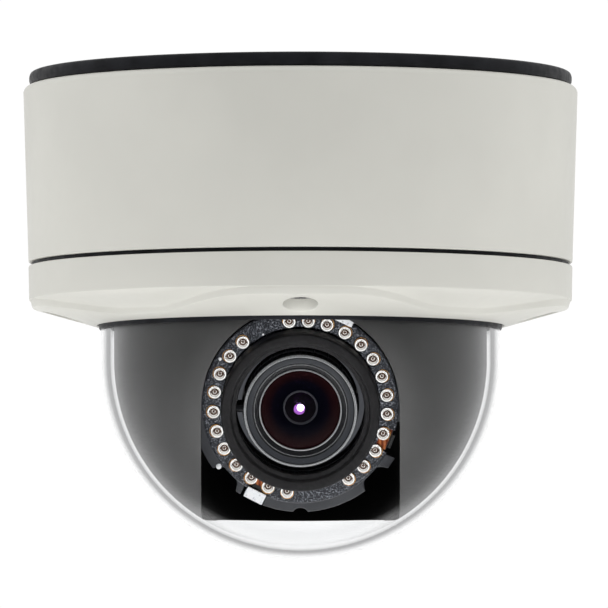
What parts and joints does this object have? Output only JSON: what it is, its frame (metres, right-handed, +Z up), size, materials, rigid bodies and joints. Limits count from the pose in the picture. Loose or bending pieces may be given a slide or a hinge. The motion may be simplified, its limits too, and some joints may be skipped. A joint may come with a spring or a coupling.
{
  "type": "dome security camera",
  "caption": "Ceiling dome camera: round cast housing, screwed cover ring, clear bubble and an infrared-lit zoom lens module on a pan, tilt and roll mount.",
  "frame": {"origin": "centre of the flat ceiling face of the mounting gasket, where the camera meets the ceiling", "axes": "+Z up into the ceiling, the camera hangs towards -Z; -Y is the front, where the lens looks at rest; +X is to the right seen from the front"},
  "size_m": [0.15, 0.15, 0.1318],
  "materials": {
    "housing_paint": "fine off-white powder coat, satin",
    "gasket_rubber": "matt moulded rubber",
    "bubble_clear": "clear polished polycarbonate",
    "fastener_steel": "stainless steel, lightly brushed",
    "bare_aluminium": "natural aluminium",
    "circuit_board": "green solder mask over fibreglass",
    "black_plastic": "black moulded plastic",
    "grey_plastic": "dark grey moulded plastic",
    "terminal_green": "green moulded plastic",
    "liner_grey": "dark satin moulded plastic",
    "lamp_texture": "charcoal textured coat with fine sparkle",
    "flex_film": "amber polyimide film over copper",
    "lens_glass": "coated optical glass"
  },
  "bodies": {
    "fixed_housing": {"mounting_gasket": "gasket_rubber", "housing": "housing_paint", "cable_grommet": "gasket_rubber", "cover_seal": "gasket_rubber", "trim_ring": "housing_paint", "cover_screw_1": "fastener_steel", "cover_screw_2": "fastener_steel", "cover_screw_3": "fastener_steel", "cover_screw_4": "fastener_steel", "dome_bubble": "bubble_clear", "dome_seal": "gasket_rubber", "dome_clamp_ring": "black_plastic", "clamp_screw_1": "fastener_steel", "clamp_screw_2": "fastener_steel", "clamp_screw_3": "fastener_steel", "clamp_screw_4": "fastener_steel", "chassis_plate": "fastener_steel", "chassis_screw_1": "fastener_steel", "chassis_screw_2": "fastener_steel", "chassis_screw_3": "fastener_steel", "chassis_screw_4": "fastener_steel", "main_board": "circuit_board", "board_standoff_1": "fastener_steel", "board_standoff_2": "fastener_steel", "board_standoff_3": "fastener_steel", "board_standoff_4": "fastener_steel", "network_jack": "bare_aluminium", "terminal_block": "terminal_green", "heat_sink": "bare_aluminium", "pan_base": "grey_plastic"},
    "pan_carriage": {"pan_ring": "grey_plastic", "tilt_yoke": "grey_plastic", "tilt_screw_left": "fastener_steel", "tilt_screw_right": "fastener_steel", "dome_liner": "liner_grey"},
    "tilt_carriage": {"tilt_cradle": "grey_plastic"},
    "camera_module": {"module_case": "black_plastic", "rear_cover": "black_plastic", "roll_retainer": "fastener_steel", "roll_ring": "grey_plastic", "lamp_board": "circuit_board", "lamp_plate": "lamp_texture", "lamp_clip_1": "bare_aluminium", "lamp_clip_2": "bare_aluminium", "light_sensor": "black_plastic", "lamp_flex": "flex_film", "lens_baffle": "gasket_rubber", "lens_barrel": "black_plastic", "rear_element": "lens_glass", "lens_mount": "black_plastic", "filter_unit": "black_plastic", "sensor_board": "circuit_board", "image_sensor": "black_plastic"},
    "filter_slide": {"infrared_filter": "lens_glass"},
    "zoom_control": {"zoom_ring": "black_plastic"},
    "zoom_optics": {"zoom_group": "lens_glass"},
    "focus_control": {"focus_ring": "black_plastic"},
    "focus_optics": {"front_barrel": "black_plastic", "front_element": "lens_glass"}
  },
  "joints": [
    {"name": "pan", "type": "hinge", "parent": "fixed_housing", "child": "pan_carriage", "pos_m": [0, 0, -0.054], "axis": [0, 0, 1], "range_deg": [-175, 175]},
    {"name": "tilt", "type": "hinge", "parent": "pan_carriage", "child": "tilt_carriage", "pos_m": [0, 0, -0.086], "axis": [1, 0, 0], "range_deg": [-12, 78]},
    {"name": "roll", "type": "hinge", "parent": "tilt_carriage", "child": "camera_module", "pos_m": [0, 0, -0.086], "axis": [0, -0.9781, -0.2079], "range_deg": [-90, 90]},
    {"name": "filter_shift", "type": "slide", "parent": "camera_module", "child": "filter_slide", "axis": [1, 0, 0], "range_m": [0, 0.0094]},
    {"name": "zoom", "type": "hinge", "parent": "camera_module", "child": "zoom_control", "pos_m": [0, 0, -0.086], "axis": [0, -0.9781, -0.2079], "range_deg": [0, 60]},
    {"name": "zoom_travel", "type": "slide", "parent": "camera_module", "child": "zoom_optics", "axis": [0, -0.9781, -0.2079], "range_m": [0, 0.0041]},
    {"name": "focus", "type": "hinge", "parent": "camera_module", "child": "focus_control", "pos_m": [0, 0, -0.086], "axis": [0, -0.9781, -0.2079], "range_deg": [0, 80]},
    {"name": "focus_travel", "type": "slide", "parent": "camera_module", "child": "focus_optics", "axis": [0, -0.9781, -0.2079], "range_m": [0, 0.0018]}
  ],
  "couplings": [
    {"joint": "zoom_travel", "follows": "zoom", "m_per_rad": 0.0038},
    {"joint": "focus_travel", "follows": "focus", "m_per_rad": 0.00127}
  ]
}
